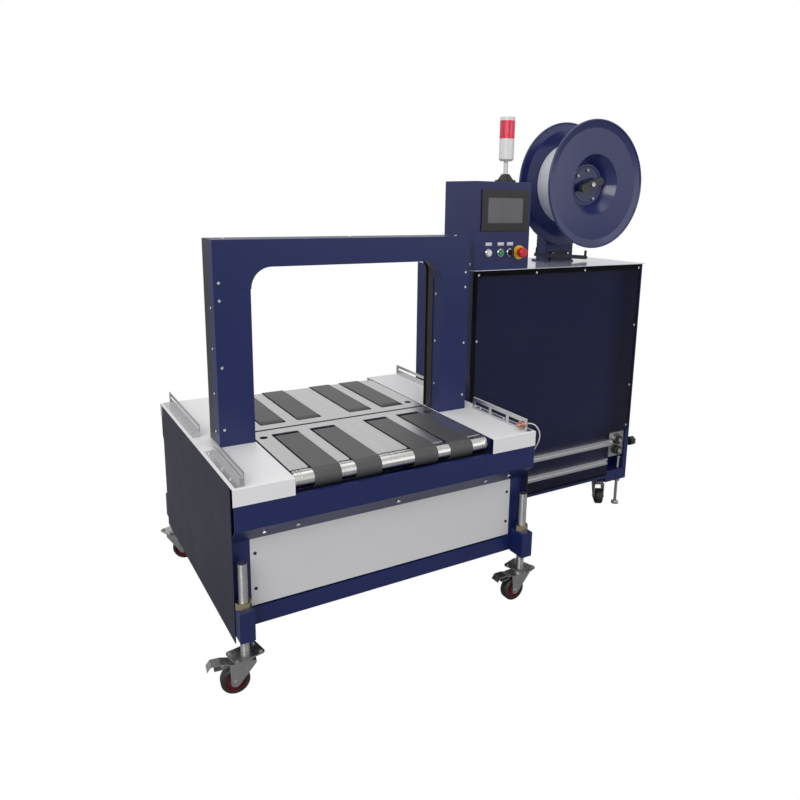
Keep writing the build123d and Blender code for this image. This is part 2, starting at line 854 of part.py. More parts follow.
def fork_solid(radius, trail, with_pedal):
    """Pressed castor fork at the origin, swivel axis on Z and the wheel trailing towards -X."""
    bearing_top = castor_height - castor_plate_thick - swivel_gap
    bearing_low = bearing_top - swivel_height
    inner = fork_inside / 2
    outer = inner + fork_sheet
    crown_low = bearing_low - fork_sheet
    crown_back = -trail - fork_crown_back
    crown_front = swivel_radius + fork_crown_front
    bearing = rod_z(0, 0, bearing_low, bearing_top, swivel_radius)
    fork = chamfer(bearing.edges().group_by(Axis.Z)[-1], swivel_bevel)
    fork += block(crown_back, crown_front, -outer, outer, crown_low, bearing_low)
    crown_edge = Pos((crown_back + crown_front) / 2, crown_low - fork_crown_drop / 2)
    crown_edge *= Rectangle(crown_front - crown_back, fork_crown_drop)
    foot = Pos(-trail, radius) * Circle(fork_foot_radius)
    arm = make_hull(crown_edge.edges() + foot.edges())
    fork += plate_y(arm, inner, outer) + plate_y(arm, -outer, -inner)
    fork += rod_y(-trail, -outer - axle_reach, outer + axle_reach, radius, axle_radius)
    fork += rod_z(0, 0, bearing_low,
                  castor_height - castor_plate_thick + kingpin_length - pin_end_gap, kingpin_radius)
    if with_pedal:
        fork += brake_pedal(crown_back, crown_low, bearing_low)
    return fork


def fixed_fork():
    """The same fork without a swivel pin, on a neck that is welded to its plate."""
    under_plate = castor_height - castor_plate_thick
    fork = fork_solid(small_wheel_radius, small_trail, False)
    fork &= block(-castor_height, castor_height, -castor_height, castor_height, -past, under_plate)
    return fork + rod_z(0, 0, under_plate - 2 * past, under_plate + past, fixed_neck_radius)


def bent_strip(points, width):
    """Strip of sheet along a bent line, given as (x, z) pairs of its upper side."""
    under = [(x, z - pedal_sheet) for x, z in reversed(points)]
    return slab_y(points + under, -width / 2, width / 2)


def brake_pedal(back, low, high):
    """Foot pedal that reaches past the wheel: an arched tread and a lower ledge that frees it."""
    tread = bent_strip([
        (back + pedal_root, high), (back, high), (back - pedal_ramp, high + pedal_rise),
        (back - pedal_tread, high + pedal_rise), (back - pedal_reach, high - pedal_end_drop),
    ], pedal_width)
    ledge = bent_strip([
        (back + pedal_root, low), (back, low), (back - ledge_ramp, low - ledge_drop),
        (back - ledge_reach, low - ledge_drop),
    ], ledge_width)
    tread = fillet(tread.edges().group_by(Axis.X)[0].filter_by(Axis.Z, reverse=True), past / 2)
    return tread + ledge


def make_castors():
    """Swivel forks and wheels, each ready to turn about its own pin."""
    for (place, turn), (x, y) in zip(castor_facing.items(), castor_centres()):
        spot = Pos(x, y, 0) * Rot(0, 0, turn)
        keep("fork_" + place, spot * fork_solid(wheel_radius, castor_trail, True))
        keep("wheel_" + place, spot * Pos(-castor_trail, 0, wheel_radius) * wheel_solid(wheel_radius))
    for (place, turn), (x, y) in zip(cabinet_castor_facing.items(), cabinet_castor_centres()):
        spot = Pos(x, y, 0) * Rot(0, 0, turn)
        if place.startswith("front"):
            keep("cabinet_fork_" + place, spot * fork_solid(small_wheel_radius, small_trail, False))
        keep("cabinet_wheel_" + place,
             spot * Pos(-small_trail, 0, small_wheel_radius) * wheel_solid(small_wheel_radius))


def cabinet_castor_centres():
    """Cabinet castors: front left, front right, rear left, rear right."""
    left = cabinet_left + cabinet_castor_inset
    right = cabinet_right - cabinet_castor_inset
    near = cabinet_front + cabinet_castor_back
    far = cabinet_back - cabinet_castor_back
    return [(left, near), (right, near), (left, far), (right, far)]


def make_cabinet():
    """Closed housing with a shallow strap pool in front, behind a clear window."""
    low, high = cabinet_bottom, cabinet_top_height
    pool_back = body_front + pool_depth
    body = block(cabinet_left, cabinet_right, body_front, cabinet_back, low, high)
    body -= block(cabinet_left + cabinet_border, cabinet_right - cabinet_border,
                  body_front - past, pool_back, low + cabinet_border, high - cabinet_border)
    corner_left = cabinet_right - notch_width
    body += block(corner_left, cabinet_right, body_front, pool_back + past, corner_bottom,
                  corner_top)
    half = foot_block / 2
    for x, y in foot_centres():
        body += block(x - half, x + half, y - half, y + half, corner_bottom, low + past)
    for x, y in foot_centres():
        body -= rod_z(x, y, corner_bottom - past, foot_rod_top + foot_head_height + foot_hole_above,
                      foot_head_radius + foot_hole_gap)
    for x, _ in cabinet_castor_centres()[:2]:
        body += block(x - skid_width / 2, x + skid_width / 2, cabinet_front + skid_front,
                      cabinet_back - skid_back, castor_height, low + past)
    keep("cabinet_body", body)
    window = block(cabinet_left, cabinet_right - window_side, cabinet_front, body_front,
                   low + window_lift, high)
    window -= block(corner_left, cabinet_right, cabinet_front - past, body_front + past,
                    low, notch_top)
    keep("cabinet_window", window)
    roof = block(cabinet_left, cabinet_right + top_overhang, cabinet_front - top_overhang,
                 cabinet_back, high, high + top_sheet)
    keep("cabinet_roof", roof)


def foot_centres():
    """Levelling feet: front left, front right, rear left, rear right."""
    left = cabinet_left + foot_inset
    right = cabinet_right - foot_inset
    near = cabinet_front + foot_back
    far = cabinet_back - foot_back
    return [(left, near), (right, near), (left, far), (right, far)]


def make_feet():
    for x, y in foot_centres():
        foot = rod_z(x, y, 0, foot_height, foot_radius)
        foot = fillet(foot.edges().group_by(Axis.Z)[-1], foot_edge)
        foot += rod_z(x, y, foot_height - past, foot_rod_top, foot_rod_radius)
        foot += rod_z(x, y, foot_rod_top, foot_rod_top + foot_head_height, foot_head_radius)
        foot += rod_z(x, y, corner_bottom - foot_nut_height, corner_bottom, foot_nut_radius)
        keep("levelling_feet", foot)


def make_channels():
    """Two grooved aluminium bars that carry the strap across to the head under the table."""
    left = table_width - channel_inside
    right = cabinet_right - channel_right_margin
    front = cabinet_front - channel_thick
    for low in (channel_upper, channel_lower):
        bar = block(left, right, front, cabinet_front, low, low + channel_height)
        middle = low + channel_height / 2
        bar -= block(left - past, right + past, front - past, front + channel_groove_depth,
                     middle - channel_groove / 2, middle + channel_groove / 2)
        if low == channel_upper:
            bar += slot_y(right, middle, channel_lug_length, channel_lug_height, front,
                          front + channel_lug_thick)
        keep("strap_channels", bar)


def channel_window():
    """The hole in the table's right side panel that the strap channels pass."""
    margin = channel_window_margin
    return block(table_width - channel_window_reach, table_width + past,
                 cabinet_front - channel_thick - margin, cabinet_front + margin,
                 channel_lower - margin, channel_upper + channel_height + margin)


def make_feed_unit():
    """Two rubber feed wheels on pins, their plate and the bent guard over the upper one."""
    x = cabinet_right - feed_centre_from_right
    low = feed_lower_height
    high = low + feed_wheel_spacing
    half = feed_plate_width / 2
    plate_front_face = body_front + feed_plate_gap
    plate_back_face = plate_front_face + feed_plate
    wheel_back = plate_front_face - feed_wheel_gap
    wheel_front = wheel_back - feed_wheel_width
    cap_back = wheel_front - feed_pin_nose
    plate = block(x - half, x + half, plate_front_face, plate_back_face,
                  low - feed_plate_below, high + feed_plate_above)
    plate = fillet(plate.edges().filter_by(Axis.Y), feed_plate_corner)
    for boss_x in (x - half + feed_boss_inset, x + half - feed_boss_inset):
        plate += rod_y(boss_x, plate_back_face - past, body_front + pool_depth, (low + high) / 2,
                       feed_boss_radius)
    for z in (low, high):
        plate += rod_y(x, cap_back, plate_front_face, z, feed_pin_radius)
        plate += rod_y(x, cap_back - feed_pin_cap, cap_back, z, feed_pin_radius + feed_pin_cap_lip)
    guard_inside = feed_wheel_radius + moving_gap
    guard_outside = guard_inside + guard_thick
    guard = rod_y(x, wheel_front, plate_front_face, high, guard_outside)
    guard -= rod_y(x, wheel_front - past, plate_front_face + past, high, guard_inside)
    guard &= block(x - guard_outside - past, x + guard_reach, wheel_front, plate_front_face,
                   high, high + guard_outside + past)
    keep("feed_bracket", plate + guard)
    middle = (wheel_front + wheel_back) / 2
    groove_front = middle - feed_groove_width / 2
    groove_back = middle + feed_groove_width / 2
    for name, z in (("lower_feed_wheel", low), ("upper_feed_wheel", high)):
        wheel = rod_y(x, wheel_front, wheel_back, z, feed_wheel_radius)
        ring = rod_y(x, groove_front, groove_back, z, feed_wheel_radius + past)
        wheel -= ring - rod_y(x, groove_front, groove_back, z, feed_wheel_radius - feed_groove)
        wheel -= rod_y(x, wheel_front - past, wheel_back + past, z, feed_pin_radius + running_fit)
        keep(name, wheel)


def make_knob():
    """Star knob on the cabinet's right wall."""
    y = cabinet_front + knob_back
    z = knob_height
    shaft_out = cabinet_right + knob_shaft_length
    wall_inside = cabinet_right - cabinet_border
    outline = Circle(knob_radius)
    flute_line = knob_radius + knob_flute_reach
    for count in range(knob_flutes):
        angle = radians(360 * count / knob_flutes)
        outline -= Pos(flute_line * cos(angle), flute_line * sin(angle)) * Circle(knob_flute_radius)
    plane = Plane(origin=(shaft_out, y, z), x_dir=(0, 1, 0), z_dir=(1, 0, 0))
    knob = extrude(plane * outline, amount=knob_length)
    knob += rod_x(shaft_out - past, shaft_out + past, y, z, knob_boss_radius)
    knob += rod_x(wall_inside + pin_end_gap, shaft_out, y, z, knob_shaft_radius)
    keep("side_knob", knob)
    nodes["cabinet_body"][0] -= rod_x(wall_inside - past, cabinet_right + past, y, z,
                                      knob_shaft_radius + running_fit)


def reel_centre():
    """X and Z of the reel's axis."""
    return cabinet_right - reel_centre_from_right, cabinet_roof + reel_above_roof


def rolled_rim(y, radius, bead):
    """Ring of round section about the Y axis, as a sheet's edge rolled over."""
    return Pos(0, y, 0) * Rot(90, 0, 0) * Torus(radius, bead)


def make_reel():
    """Pressed reel on its shaft: dished flanges with rolled rims, and a drum recessed in front."""
    x, z = reel_centre()
    front, back = cabinet_front, reel_back
    t = reel_sheet
    rim = reel_radius
    flat = reel_radius - reel_dish_width
    flare = core_radius + core_flare
    face_front = front + reel_dish
    face_back = back - reel_dish
    outline = Polyline([
        (0, shaft_tip), (reel_shaft_radius, shaft_tip), (reel_shaft_radius, recess_floor),
        (recess_floor_radius, recess_floor), (recess_mouth_radius, face_front),
        (flat, face_front), (rim, front), (rim, front + t), (flat, face_front + t),
        (flare, face_front + t), (core_radius, face_front + t + core_flare),
        (core_radius, face_back - t - core_flare), (flare, face_back - t),
        (flat, face_back - t), (rim, back - t), (rim, back), (flat, face_back),
        (hub_sleeve_radius, face_back), (hub_sleeve_radius, sleeve_end),
        (reel_shaft_radius, sleeve_end), (reel_shaft_radius, shaft_end), (0, shaft_end),
    ], close=True)
    reel = revolve(make_face(outline), axis=Axis.Y)
    inside = Polyline([
        (hub_sleeve_radius, recess_floor + drum_wall),
        (recess_floor_radius + drum_wall, recess_floor + drum_wall),
        (core_radius - drum_wall, face_front + t + drum_wall),
        (core_radius - drum_wall, face_back - drum_wall),
        (hub_sleeve_radius, face_back - drum_wall),
    ], close=True)
    reel -= revolve(make_face(inside), axis=Axis.Y)
    reel += rolled_rim(front + t / 2, rim, reel_bead_radius)
    reel += rolled_rim(back - t / 2, rim, reel_bead_radius)
    reel += rolled_rim(face_front + t / 2, recess_mouth_radius + t, recess_bead_radius)
    keep("reel", Pos(x, 0, z) * reel)
    coil = rod_y(x, face_front + t + coil_side_gap, face_back - t - coil_side_gap, z, coil_radius)
    keep("strap_coil", coil - rod_y(x, front, back, z, flare + coil_core_gap))


def make_reel_nut():
    """Bar-shaped hand nut on the end of the reel's shaft."""
    x, z = reel_centre()
    nut = rod_y(0, nut_front, nut_back, 0, bar_nut_boss)
    nut += slot_y(0, 0, bar_nut_length, bar_nut_height, nut_front - bar_nut_proud,
                  nut_front + bar_nut_deep)
    nut -= rod_y(0, nut_front + bar_nut_cap, nut_back + past, 0, reel_shaft_radius + running_fit)
    keep("reel_nut", Pos(x, 0, z) * Rot(0, -bar_nut_tilt, 0) * nut)


def make_reel_stand():
    """Box column on a foot plate, with the bearing that the reel's shaft turns in."""
    x, z = reel_centre()
    half = stand_width / 2
    back = stand_front + stand_depth
    base = cabinet_roof
    stand = block(x - half, x + half, stand_front, back, base, z + stand_top_margin)
    stand = fillet(stand.edges().filter_by(Axis.Z), stand_edge)
    stand += block(x - half, x + half, stand_front - stand_foot_front, back + stand_foot_margin,
                   base, base + stand_foot_sheet)
    stand += rod_y(x, sleeve_end + bearing_gap, stand_front + past, z, bearing_radius)
    stand -= rod_y(x, sleeve_end, shaft_end + pin_end_gap, z, reel_shaft_radius + running_fit)
    keep("reel_stand", stand)


def make_guide_arm():
    """Slightly tilted flat arm with two upright strap pins, on a plate in front of the column."""
    x, _ = reel_centre()
    plate_face = stand_front - guide_arm_plate
    z = cabinet_roof + guide_arm_lift
    arm = slot_y(0, 0, guide_arm_length, guide_arm_height, 0, guide_arm_thick)
    pin_line = (guide_arm_length - guide_arm_height) / 2
    for end in (-pin_line, pin_line):
        arm += rod_z(end, guide_arm_thick / 2, 0, guide_arm_height / 2 + guide_pin_height,
                     guide_pin_radius)
    arm = Pos(x, plate_face - guide_arm_thick, z) * Rot(0, guide_arm_tilt, 0) * arm
    half = guide_arm_plate_width / 2
    arm += block(x - half, x + half, plate_face, stand_front,
                 z - guide_arm_plate_height / 2, z + guide_arm_plate_height / 2)
    keep("guide_arm", arm)


def make_control_box():
    """Upright box on the cabinet roof, flush with the cabinet's front."""
    left, front = cabinet_left, cabinet_front
    base = cabinet_roof
    box = block(left, left + control_width, front, front + control_depth, base,
                base + control_height)
    box = fillet(box.edges().filter_by(Axis.X).group_by(Axis.Z)[-1], control_edge)
    hole_depth = button_stem + button_travel + switch_hole_spare
    for x, _ in switch_places():
        box -= rod_y(x, front - past, front + hole_depth, base + switch_line, button_radius)
    keep("control_box", box)
    screen_x = left + screen_left
    screen_z = base + screen_bottom
    face = front - screen_thick
    screen = block(screen_x, screen_x + screen_width, face, front, screen_z,
                   screen_z + screen_height)
    screen = chamfer(screen.faces().sort_by(Axis.Y)[0].edges(), screen_bevel)
    screen -= block(screen_x + screen_border_side, screen_x + screen_width - screen_border_side,
                    face - past, face + screen_recess,
                    screen_z + screen_border_end, screen_z + screen_height - screen_border_end)
    keep("touch_screen", screen)


def switch_places():
    """X of each switch and its kind, left to right."""
    left = cabinet_left
    return [(left + white_button_from_left, "white_button"),
            (left + green_button_from_left, "green_button"),
            (left + selector_from_left, "selector_switch"),
            (left + stop_from_left, "stop_head")]


def make_switches():
    """Two buttons, a selector and a mushroom stop, each in a collar on the box's front."""
    z = cabinet_roof + switch_line
    front = cabinet_front
    hole = button_radius + button_clearance
    for x, kind in switch_places():
        if kind == "stop_head":
            disc = rod_y(x, front - stop_disc_height, front, z, stop_disc_radius)
            disc -= rod_y(x, front - stop_disc_height - past, front + past, z, hole)
            keep("stop_disc", disc)
            head_back = front - stop_disc_height - stop_neck_length
            head = rod_y(x, head_back - stop_head_height, head_back, z, stop_head_radius)
            head = fillet(head.edges().group_by(Axis.Y)[0], stop_head_edge)
            head += rod_y(x, head_back - past, front + button_stem - stop_stem_short, z,
                          button_cap_radius)
            keep(kind, head)
            continue
        collar = rod_y(x, front - collar_height, front, z, switch_collar_radius)
        collar = chamfer(collar.edges().group_by(Axis.Y)[0], button_edge)
        collar -= rod_y(x, front - collar_height - past, front + past, z, hole)
        keep("switch_collars", collar)
        cap_front = front - collar_height - button_proud
        cap = rod_y(x, cap_front, front + button_stem, z, button_cap_radius)
        cap = fillet(cap.edges().group_by(Axis.Y)[0], button_edge)
        if kind == "selector_switch":
            half = selector_lever_length / 2
            cap += block(x - selector_lever_width / 2, x + selector_lever_width / 2,
                         cap_front - selector_lever_height, cap_front + selector_lever_sunk,
                         z - half, z + half)
        keep(kind, cap)


def make_signal_tower():
    """Domed black foot, white pole and body, ribbed red lamp and a white cap."""
    x = cabinet_left + tower_from_left
    y = cabinet_front + tower_back
    z = cabinet_roof + control_height
    foot = rod_z(x, y, z, z + tower_flange_height, tower_base_radius)
    dome = extrude(Circle(tower_base_radius - tower_dome_inset),
                   amount=tower_base_height - tower_flange_height, taper=tower_dome_taper)
    keep("tower_foot", foot + Pos(x, y, z + tower_flange_height) * dome)
    z += tower_base_height
    pole = rod_z(x, y, z, z + tower_pole_height, tower_pole_radius)
    z += tower_pole_height
    body = rod_z(x, y, z, z + tower_body_height, tower_body_radius)
    keep("tower_housing", pole + chamfer(body.edges().group_by(Axis.Z)[0], tower_body_bevel))
    z += tower_body_height
    reach = tower_body_radius - lamp_rib_radius
    outline = Circle(reach)
    for count in range(lamp_ribs):
        angle = radians(360 * count / lamp_ribs)
        outline += Pos(reach * cos(angle), reach * sin(angle)) * Circle(lamp_rib_radius)
    keep("signal_lamp", Pos(x, y, z) * extrude(outline, amount=lamp_height))
    z += lamp_height
    cap = rod_z(x, y, z, z + cap_height, tower_body_radius)
    keep("tower_housing", fillet(cap.edges().group_by(Axis.Z)[-1], cap_edge))


def make_end_panels():
    """White cover between the posts under each end beam."""
    left = frame_inset + tube + seat_gap
    panel = block(left, table_width - left, post_front, post_front + sheet,
                  rail_bottom + tube + panel_lift, beam_foot - seat_gap)
    keep("end_panels", panel, mirror_y(panel))


make_wings()
make_slotted_plates()
make_belts()
make_rollers()
make_arch()
make_guides()
make_sensor_guide()
make_sensor_cable()
make_end_panels()
keep("base_frame", make_base_frame())
front_beam = make_end_beam()
keep("end_beams", front_beam, mirror_y(front_beam))
side_panel = make_side_panel()
keep("side_panels", side_panel, mirror_x(side_panel) - channel_window())
make_cabinet()
make_castor_mounts()
make_castors()
make_feet()
make_channels()
make_feed_unit()
make_knob()
make_reel()
make_reel_nut()
make_reel_stand()
make_guide_arm()
make_control_box()
make_switches()
make_signal_tower()

# The origin goes under the middle of the machine's bounding box; the loose cable isn't counted
counted = [solid for name, solids in nodes.items() if name != "sensor_cable" for solid in solids]
low_x = min(solid.bounding_box().min.X for solid in counted)
high_x = max(solid.bounding_box().max.X for solid in counted)
low_y = min(solid.bounding_box().min.Y for solid in counted)
high_y = max(solid.bounding_box().max.Y for solid in counted)
to_origin = Pos(-(low_x + high_x) / 2, -(low_y + high_y) / 2, 0)
print("moved by", round(-(low_x + high_x) / 2, 3), round(-(low_y + high_y) / 2, 3))

os.makedirs("parts", exist_ok=True)
for name, solids in nodes.items():
    placed = [part for solid in solids for part in (to_origin * solid).solids()]
    shape = placed[0] if len(placed) == 1 else Compound(children=placed)
    export_step(shape, "parts/" + name + ".step")
print(len(nodes), "nodes written")
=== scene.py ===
# %% [markdown]
# # Arch strapping machine: the looks
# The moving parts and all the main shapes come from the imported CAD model, which stays exactly where it is.
# This lesson gives every part its surface, adds the small things that only the eye needs (screws, bolts,
# labels, a screen), and photographs the machine from the same side as the reference picture.

# %% Start
import math
import bmesh
import bpy
from mathutils import Matrix, Vector


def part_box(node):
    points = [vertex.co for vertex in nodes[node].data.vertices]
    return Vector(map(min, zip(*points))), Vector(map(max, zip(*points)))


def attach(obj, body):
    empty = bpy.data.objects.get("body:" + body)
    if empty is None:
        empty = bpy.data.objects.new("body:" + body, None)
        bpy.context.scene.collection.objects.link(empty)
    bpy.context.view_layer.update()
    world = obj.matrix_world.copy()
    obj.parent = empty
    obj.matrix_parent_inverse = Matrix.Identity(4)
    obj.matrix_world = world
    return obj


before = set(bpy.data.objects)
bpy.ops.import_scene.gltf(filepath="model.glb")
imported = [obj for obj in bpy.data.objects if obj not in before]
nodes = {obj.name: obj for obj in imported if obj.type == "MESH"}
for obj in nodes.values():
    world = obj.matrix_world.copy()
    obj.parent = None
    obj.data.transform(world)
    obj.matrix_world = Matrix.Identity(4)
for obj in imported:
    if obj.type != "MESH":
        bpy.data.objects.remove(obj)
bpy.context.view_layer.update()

# %% [markdown]
# ## Places
# The drawing of this machine measures from the table's left front corner, in millimetres.
# `at` turns such a place into metres in the shared frame, so a screw can be put where the drawing says.

# %% Places
TABLE_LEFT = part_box("table_wings")[0].x
TABLE_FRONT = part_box("table_wings")[0].y
TABLE_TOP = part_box("table_wings")[1].z
MM = 0.001
LEFT, RIGHT = Vector((-1, 0, 0)), Vector((1, 0, 0))
FRONT, BACK = Vector((0, -1, 0)), Vector((0, 1, 0))
UP, DOWN = Vector((0, 0, 1)), Vector((0, 0, -1))


def at(x, y, z):
    """A place in millimetres from the table's left front corner; z counts from the table top."""
    return Vector((TABLE_LEFT + x * MM, TABLE_FRONT + y * MM, TABLE_TOP + z * MM))


print("table corner at", tuple(round(v, 4) for v in at(0, 0, 0)))

# %% [markdown]
# ## Shader arithmetic
# A procedural surface is a sum of simple patterns. `Wire` lets that sum be written as ordinary
# arithmetic: every operator adds one math node, and `node` adds any other kind.


# %% Shader arithmetic
class Wire:
    """An output in a material's node tree that can be added, multiplied and fed onward."""

    def __init__(self, tree, socket):
        self.tree = tree
        self.socket = socket

    def node(self, kind, inputs, output=0, **settings):
        made = self.tree.nodes.new(kind)
        for name, value in settings.items():
            setattr(made, name, value)
        for name, value in inputs.items():
            if isinstance(value, Wire):
                self.tree.links.new(value.socket, made.inputs[name])
            else:
                made.inputs[name].default_value = value
        return Wire(self.tree, made.outputs[output])

    def math(self, operation, first, second=0.0):
        return self.node("ShaderNodeMath", {0: first, 1: second}, operation=operation)

    def __add__(self, other):
        return self.math("ADD", self, other)

    def __sub__(self, other):
        return self.math("SUBTRACT", self, other)

    def __rsub__(self, other):
        return self.math("SUBTRACT", other, self)

    def __mul__(self, other):
        return self.math("MULTIPLY", self, other)

    def __truediv__(self, other):
        return self.math("DIVIDE", self, other)

    def __gt__(self, other):
        return self.math("GREATER_THAN", self, other)

    __radd__ = __add__
    __rmul__ = __mul__

    def noise(self, scale, detail=2.0, stretch=(1, 1, 1)):
        """Soft random pattern of about the given number of blobs a metre, 0 to 1."""
        place = self.node("ShaderNodeMapping", {"Vector": self, "Scale": stretch})
        return place.node("ShaderNodeTexNoise", {"Vector": place, "Scale": scale, "Detail": detail})

    def blend(self, low, high):
        """Mixes two colours by this wire."""
        inputs = {"Factor": self, 6: low, 7: high}
        return self.node("ShaderNodeMix", inputs, output=2, data_type="RGBA")

    def axis(self, name):
        return self.node("ShaderNodeSeparateXYZ", {0: self}, output="XYZ".index(name))


def material(name, roughness, metallic=0.0, coat=0.0, ior=1.5, transmission=0.0):
    """A new material with its shader's constants set; returns it, its shader and its place wire."""
    made = bpy.data.materials.new(name)
    made.use_nodes = True
    tree = made.node_tree
    shader = tree.nodes["Principled BSDF"]
    shader.inputs["Roughness"].default_value = roughness
    shader.inputs["Metallic"].default_value = metallic
    shader.inputs["Coat Weight"].default_value = coat
    shader.inputs["Coat Roughness"].default_value = 0.12
    shader.inputs["IOR"].default_value = ior
    shader.inputs["Transmission Weight"].default_value = transmission
    place = Wire(tree, tree.nodes.new("ShaderNodeTexCoord").outputs["Object"])
    return made, shader, place


def feed(shader, **wires):
    """Links wires to the shader's sockets; underscores in the names stand for spaces."""
    for name, wire in wires.items():
        wire.tree.links.new(wire.socket, shader.inputs[name.replace("_", " ")])


def relief(height, strength, depth):
    """Turns a height pattern into a bumped normal."""
    return height.node("ShaderNodeBump", {"Height": height, "Strength": strength, "Distance": depth})


def rgb(red, green, blue):
    return (red, green, blue, 1.0)


print("shader arithmetic ready")

# %% [markdown]
# ## Painted sheet metal
# Powder coat is never one flat colour: it has faint clouds, its gloss changes a little, and up close it
# has the fine ripple called orange peel. One function makes every painted colour that way.


# %% Painted metal
def painted(name, dark, light, roughness, peel=0.25, coat=0.0):
    made, shader, place = material(name, roughness, coat=coat)
    clouds = place.noise(3.0, 3.0)
    feed(shader, Base_Color=clouds.blend(dark, light))
    feed(shader, Roughness=place.noise(9.0) * 0.12 + (roughness - 0.06))
    feed(shader, Normal=relief(place.noise(420.0), peel, 0.0002))
    return made


blue_paint = painted("blue_paint", rgb(0.006, 0.013, 0.082), rgb(0.009, 0.018, 0.112), 0.36)
navy_paint = painted("navy_paint", rgb(0.010, 0.010, 0.030), rgb(0.014, 0.014, 0.040), 0.5)
reel_paint = painted("reel_paint", rgb(0.012, 0.018, 0.100), rgb(0.017, 0.024, 0.135), 0.26, 0.1, 0.5)
white_paint = painted("white_paint", rgb(0.80, 0.80, 0.81), rgb(0.86, 0.86, 0.87), 0.4)
panel_paint = painted("grey_white_paint", rgb(0.64, 0.64, 0.65), rgb(0.70, 0.70, 0.71), 0.45)
print("painted metals:", [m.name for m in (blue_paint, navy_paint, reel_paint, white_paint, panel_paint)])

# %% [markdown]
# ## Bare metals
# Rolled, brushed and turned metals show streaks along the way they were worked, so the same noise is
# stretched a lot along one axis. Zinc plating has no streaks but a patchy, slightly warm grey.


# %% Bare metals
def streaked(name, dark, light, roughness, stretch, scale=60.0):
    made, shader, place = material(name, roughness, metallic=1.0)
    streaks = place.noise(scale, 4.0, stretch)
    feed(shader, Base_Color=streaks.blend(dark, light))
    feed(shader, Roughness=streaks * 0.16 + (roughness - 0.08))
    feed(shader, Normal=relief(streaks, 0.12, 0.0002))
    return made


def plated(name, dark, light, roughness):
    made, shader, place = material(name, roughness, metallic=1.0)
    patches = place.noise(55.0, 5.0)
    feed(shader, Base_Color=patches.blend(dark, light))
    feed(shader, Roughness=place.noise(140.0) * 0.2 + (roughness - 0.1))
    feed(shader, Normal=relief(place.noise(300.0, 3.0), 0.15, 0.0003))
    return made


stainless = streaked("stainless", rgb(0.60, 0.60, 0.61), rgb(0.74, 0.74, 0.75), 0.3, (1, 0.03, 1))
turned_steel = streaked("turned_steel", rgb(0.58, 0.57, 0.55), rgb(0.78, 0.77, 0.75), 0.2, (4, 0.2, 0.2))
aluminium = streaked("aluminium_bar", rgb(0.60, 0.60, 0.62), rgb(0.72, 0.72, 0.74), 0.34, (0.03, 1, 1))
zinc = plated("zinc_steel", rgb(0.36, 0.37, 0.37), rgb(0.56, 0.56, 0.54), 0.38)
yellow_zinc = plated("yellow_zinc", rgb(0.50, 0.44, 0.26), rgb(0.66, 0.60, 0.42), 0.3)
screw_steel = plated("screw_steel", rgb(0.62, 0.62, 0.63), rgb(0.80, 0.80, 0.81), 0.24)
silver_ring = plated("silver_ring", rgb(0.58, 0.58, 0.60), rgb(0.72, 0.72, 0.74), 0.2)
sensor_brass = plated("sensor_brass", rgb(0.50, 0.26, 0.20), rgb(0.70, 0.42, 0.34), 0.3)
print("bare metals:", [m.name for m in (stainless, turned_steel, aluminium, zinc, yellow_zinc)])

# %% [markdown]
# ## Rubber and plastic
# Belts have a fine grain and go paler where they are worn. Plastics only need faint mottling and a
# moulded skin.


# %% Rubber and plastic
def moulded(name, dark, light, roughness, grain=500.0, strength=0.1, coat=0.0):
    made, shader, place = material(name, roughness, coat=coat)
    feed(shader, Base_Color=place.noise(18.0, 3.0).blend(dark, light))
    feed(shader, Roughness=place.noise(60.0) * 0.1 + (roughness - 0.05))
    feed(shader, Normal=relief(place.noise(grain), strength, 0.0002))
    return made


belt_rubber = moulded("belt_rubber", rgb(0.062, 0.062, 0.064), rgb(0.082, 0.082, 0.084), 0.42, 900.0, 0.2)
black_plastic = moulded("black_plastic", rgb(0.010, 0.010, 0.011), rgb(0.020, 0.020, 0.022), 0.38)
nut_plastic = moulded("nut_plastic", rgb(0.030, 0.031, 0.034), rgb(0.052, 0.053, 0.058), 0.45)
feed_rubber = moulded("feed_rubber", rgb(0.014, 0.014, 0.014), rgb(0.030, 0.030, 0.028), 0.5)
white_plastic = moulded("white_plastic", rgb(0.74, 0.74, 0.74), rgb(0.82, 0.82, 0.82), 0.28, coat=0.3)
red_plastic = moulded("red_plastic", rgb(0.55, 0.012, 0.014), rgb(0.68, 0.020, 0.020), 0.25, coat=0.3)
yellow_plastic = moulded("yellow_plastic", rgb(0.72, 0.46, 0.02), rgb(0.82, 0.56, 0.04), 0.3, coat=0.2)
green_plastic = moulded("green_plastic", rgb(0.015, 0.22, 0.06), rgb(0.03, 0.34, 0.10), 0.28, coat=0.3)
cable_plastic = moulded("cable_plastic", rgb(0.66, 0.66, 0.66), rgb(0.78, 0.78, 0.78), 0.4)
roof_sheet = moulded("roof_sheet", rgb(0.56, 0.60, 0.72), rgb(0.66, 0.70, 0.80), 0.1, 30.0, 0.02, 0.6)
label_plate = moulded("label_plate", rgb(0.60, 0.60, 0.62), rgb(0.72, 0.72, 0.74), 0.35)
print("plastics ready:", belt_rubber.name, roof_sheet.name)

# %% [markdown]
# ## Special surfaces
# * The castor wheels are one solid each, but their hubs are maroon: the distance from the axle decides.
# * The coil of strap shows its turns as fine rings across its width.
# * The threaded stems get their thread as a fine wave in the surface.
# * The window is thin tinted acrylic that you look through.
# * The red lamp glows a bit from inside and has darker bars.
# * The touch screen is a black frame round a grey glass; its place on the part decides.


